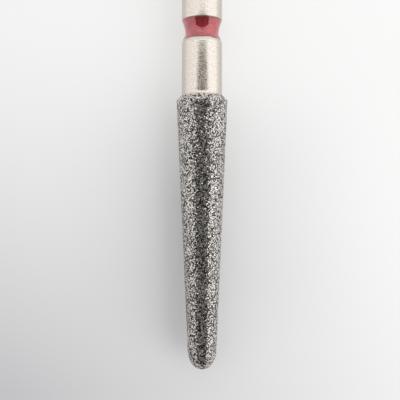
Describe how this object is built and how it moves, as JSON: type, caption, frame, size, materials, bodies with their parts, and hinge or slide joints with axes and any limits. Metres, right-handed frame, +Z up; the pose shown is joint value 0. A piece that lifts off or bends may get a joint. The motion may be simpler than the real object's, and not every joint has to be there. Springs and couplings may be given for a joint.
{
  "type": "dental bur",
  "caption": "Tapered diamond bur with a round end, a stepped shoulder, a smooth friction-grip shank and a red grit-marking ring in a groove.",
  "frame": {"origin": "middle of the bur's box on the surface that it lies on", "axes": "+Y lengthwise from the tip to the shank's end, +Z up, +X to the right seen from above with the tip towards the viewer"},
  "size_m": [0.002, 0.025, 0.002],
  "materials": {
    "steel": "satin, finely pickled, nickel-plated stainless steel, warm grey-white",
    "diamond_grit": "plated nickel packed with sharp, sparkling grains of diamond",
    "red_lacquer": "glossy red lacquer, thick at one side of the groove and thin past its waist"
  },
  "bodies": {
    "root": {"steel_blank": "steel", "diamond_coating": "diamond_grit", "colour_ring": "red_lacquer"}
  },
  "joints": []
}
